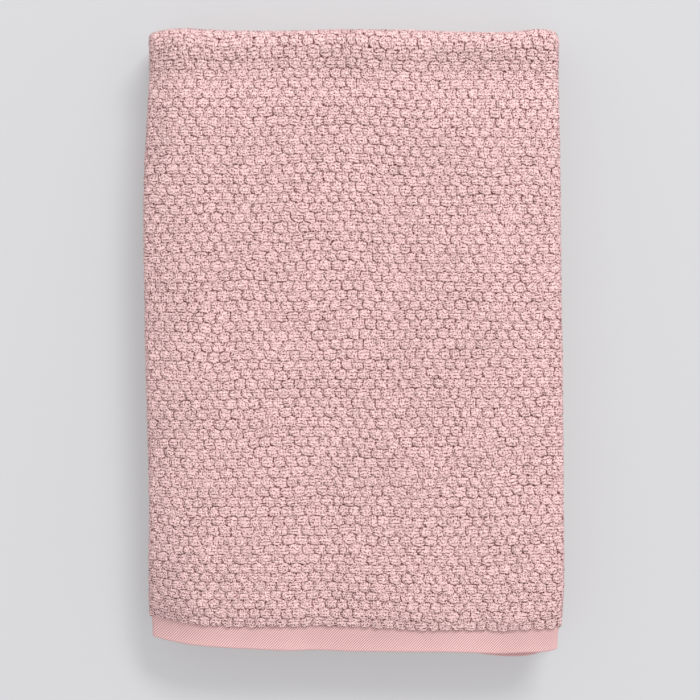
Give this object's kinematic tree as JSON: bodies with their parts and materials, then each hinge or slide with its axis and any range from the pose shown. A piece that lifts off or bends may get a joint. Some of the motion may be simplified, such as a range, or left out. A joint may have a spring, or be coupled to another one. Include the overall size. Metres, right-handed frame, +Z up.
{
  "type": "folded bath towel",
  "caption": "Terry bath towel tri-folded and quartered into a flat stack, with woven end hems, that opens like a book about its back fold.",
  "frame": {"origin": "centre of the underside, on the surface the folded towel lies on", "axes": "+X across the towel to the side where three layers turn round, +Y from the hem edge to the back fold, +Z up through the stack"},
  "size_m": [0.234, 0.353, 0.0441],
  "materials": {
    "terry": "looped cotton pile with raised knops, matt",
    "hem_cloth": "flat twill weave, matt with a slight sheen",
    "thread": "cotton sewing thread"
  },
  "bodies": {
    "lower_half": {"bottom_leaf": "terry", "bottom_leaf_tucked_side_hem": "hem_cloth", "bottom_leaf_open_side_hem": "hem_cloth", "lower_middle_leaf": "terry", "lower_middle_leaf_tucked_side_hem": "hem_cloth", "lower_middle_leaf_open_side_hem": "hem_cloth", "front_fold": "terry", "front_fold_tucked_side_hem": "hem_cloth", "front_fold_open_side_hem": "hem_cloth", "back_fold_outer": "terry", "back_fold_outer_tucked_side_hem": "hem_cloth", "back_fold_outer_open_side_hem": "hem_cloth", "back_fold_inner": "terry", "back_fold_inner_tucked_side_hem": "hem_cloth", "back_fold_inner_open_side_hem": "hem_cloth"},
    "upper_half": {"top_leaf": "terry", "top_leaf_tucked_side_hem": "hem_cloth", "top_leaf_open_side_hem": "hem_cloth", "upper_middle_leaf": "terry", "upper_middle_leaf_tucked_side_hem": "hem_cloth", "upper_middle_leaf_open_side_hem": "hem_cloth", "outer_end_hem": "hem_cloth", "inner_end_hem": "hem_cloth", "outer_hem_stitching": "thread", "inner_hem_stitching": "thread"}
  },
  "joints": [
    {"name": "top_half_unfold", "type": "hinge", "parent": "lower_half", "child": "upper_half", "pos_m": [0, 0.15445, 0.02205], "axis": [-1, 0, 0], "range_deg": [0, 179.9], "deforming": ["back_fold_outer", "back_fold_outer_tucked_side_hem", "back_fold_outer_open_side_hem", "back_fold_inner", "back_fold_inner_tucked_side_hem", "back_fold_inner_open_side_hem"]}
  ]
}
